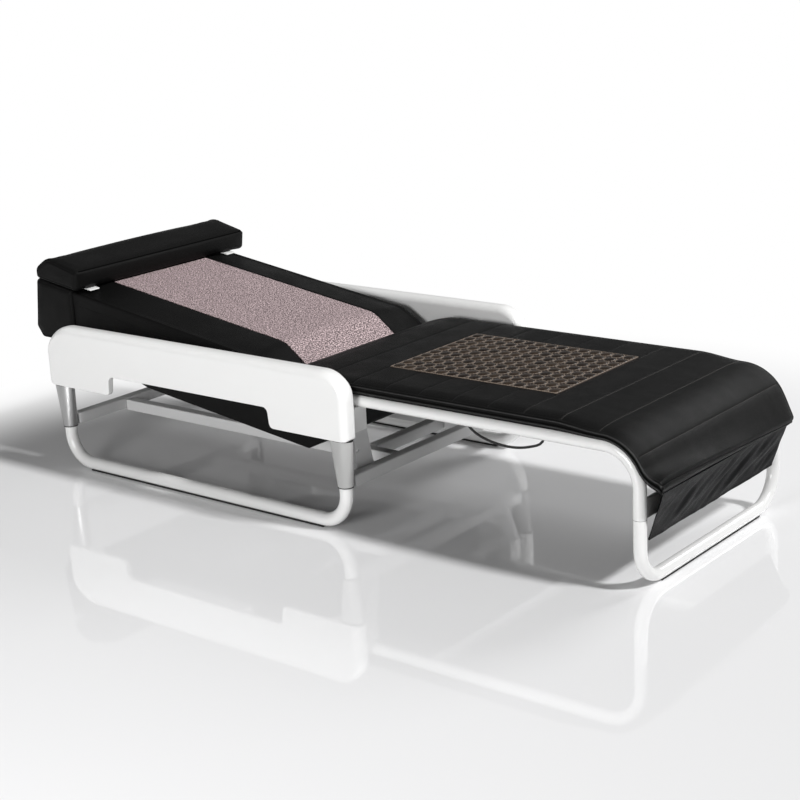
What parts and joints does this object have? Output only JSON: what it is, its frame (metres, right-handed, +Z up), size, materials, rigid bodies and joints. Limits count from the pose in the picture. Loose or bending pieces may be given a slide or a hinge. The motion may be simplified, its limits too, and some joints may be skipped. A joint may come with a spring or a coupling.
{
  "type": "jade stone massage bed",
  "caption": "Low massage bed on white tube loops: sloping padded body with travelling jade rollers under a mesh, armrest panels, and a quilted leg section with a heated stone panel",
  "frame": {"origin": "middle of the bed's footprint, on the floor", "axes": "+X from the head to the foot, +Y to the sleeper's left, +Z up"},
  "size_m": [1.9456, 0.77, 0.5686],
  "materials": {
    "white_enamel": "gloss white enamel",
    "white_plastic": "gloss white moulded plastic",
    "grey_enamel": "satin grey enamel",
    "steel": "satin steel",
    "black_leather": "fine grained black leatherette over foam and board",
    "mauve_mesh": "fine mauve grey stretch mesh",
    "black_cloth": "plain black lining cloth",
    "jade": "polished dark brown green jade",
    "rubber": "black rubber",
    "dark_plastic": "matt dark plastic"
  },
  "bodies": {
    "base": {"base_loop_right": "white_enamel", "base_loop_left": "white_enamel", "armrest_right": "white_plastic", "armrest_left": "white_plastic", "guide_block_right": "white_plastic", "guide_block_left": "white_plastic", "bolster_tab_right": "white_plastic", "bolster_tab_left": "white_plastic", "sleeve_foot_right": "grey_enamel", "sleeve_foot_left": "grey_enamel", "cross_tube_head": "grey_enamel", "cross_tube_foot": "grey_enamel", "cross_tube_middle": "grey_enamel", "runner_right": "grey_enamel", "runner_left": "grey_enamel", "guide_bracket_right": "grey_enamel", "guide_bracket_left": "grey_enamel", "body_bracket_right": "grey_enamel", "body_bracket_left": "grey_enamel", "rail_tie_head": "grey_enamel", "rail_tie_foot": "grey_enamel", "sleeve_head_right": "steel", "sleeve_head_left": "steel", "rail_right": "steel", "rail_left": "steel", "side_panel_right": "black_leather", "side_panel_left": "black_leather", "cushion_strip_right": "black_leather", "cushion_strip_left": "black_leather", "head_block": "black_leather", "mesh_panel": "mauve_mesh", "belly_panel": "black_cloth", "floor_strip_right": "rubber", "floor_strip_left": "rubber", "drive_belt": "rubber", "slide_bearing_right": "dark_plastic", "slide_bearing_left": "dark_plastic", "drive_motor": "dark_plastic"},
    "bolster": {"bolster": "black_leather"},
    "drive_pulley": {"drive_pulley": "dark_plastic"},
    "idler_pulley": {"idler_pulley": "dark_plastic"},
    "carriage": {"carriage": "grey_enamel"},
    "roller_lift": {"lift_table": "steel"},
    "rollers_head": {"roller_axle_head": "steel", "jade_roller_head_right": "jade", "jade_roller_head_left": "jade"},
    "rollers_foot": {"roller_axle_foot": "steel", "jade_roller_foot_right": "jade", "jade_roller_foot_left": "jade"},
    "leg_section": {"side_tube_right": "white_enamel", "side_tube_left": "white_enamel", "foot_loop": "white_enamel", "foot_strip": "rubber", "pad_cross_bar": "grey_enamel", "foot_end_bar": "white_enamel", "leg_pad": "black_leather", "stone_panel": "jade", "apron": "black_cloth", "heater_lead": "rubber", "lead_gland": "rubber"}
  },
  "joints": [
    {"name": "leg_slide", "type": "slide", "parent": "base", "child": "leg_section", "axis": [1, 0, 0], "range_m": [0, 0.15]},
    {"name": "bolster_lift", "type": "slide", "parent": "base", "child": "bolster", "axis": [0, 0, 1], "range_m": [0, 0.12]},
    {"name": "carriage_slide", "type": "slide", "parent": "base", "child": "carriage", "axis": [0.9889, 0, -0.1483], "range_m": [0, 0.32]},
    {"name": "roller_lift", "type": "slide", "parent": "carriage", "child": "roller_lift", "axis": [0.1483, 0, 0.9889], "range_m": [-0.03, 0]},
    {"name": "rollers_head_spin", "type": "hinge", "parent": "roller_lift", "child": "rollers_head", "pos_m": [-0.63987, 0, 0.41963], "axis": [0, 1, 0], "continuous": true},
    {"name": "rollers_foot_spin", "type": "hinge", "parent": "roller_lift", "child": "rollers_foot", "pos_m": [-0.53109, 0, 0.40331], "axis": [0, 1, 0], "continuous": true},
    {"name": "drive_pulley_spin", "type": "hinge", "parent": "base", "child": "drive_pulley", "pos_m": [-0.70444, 0, 0.3377], "axis": [0, 1, 0], "range_deg": [-1, 1100]},
    {"name": "idler_pulley_spin", "type": "hinge", "parent": "base", "child": "idler_pulley", "pos_m": [-0.21185, 0, 0.26382], "axis": [0, 1, 0], "range_deg": [-1, 1100]}
  ],
  "couplings": [
    {"joint": "drive_pulley_spin", "follows": "carriage_slide", "rad_per_m": 59.524},
    {"joint": "idler_pulley_spin", "follows": "carriage_slide", "rad_per_m": 59.524}
  ]
}
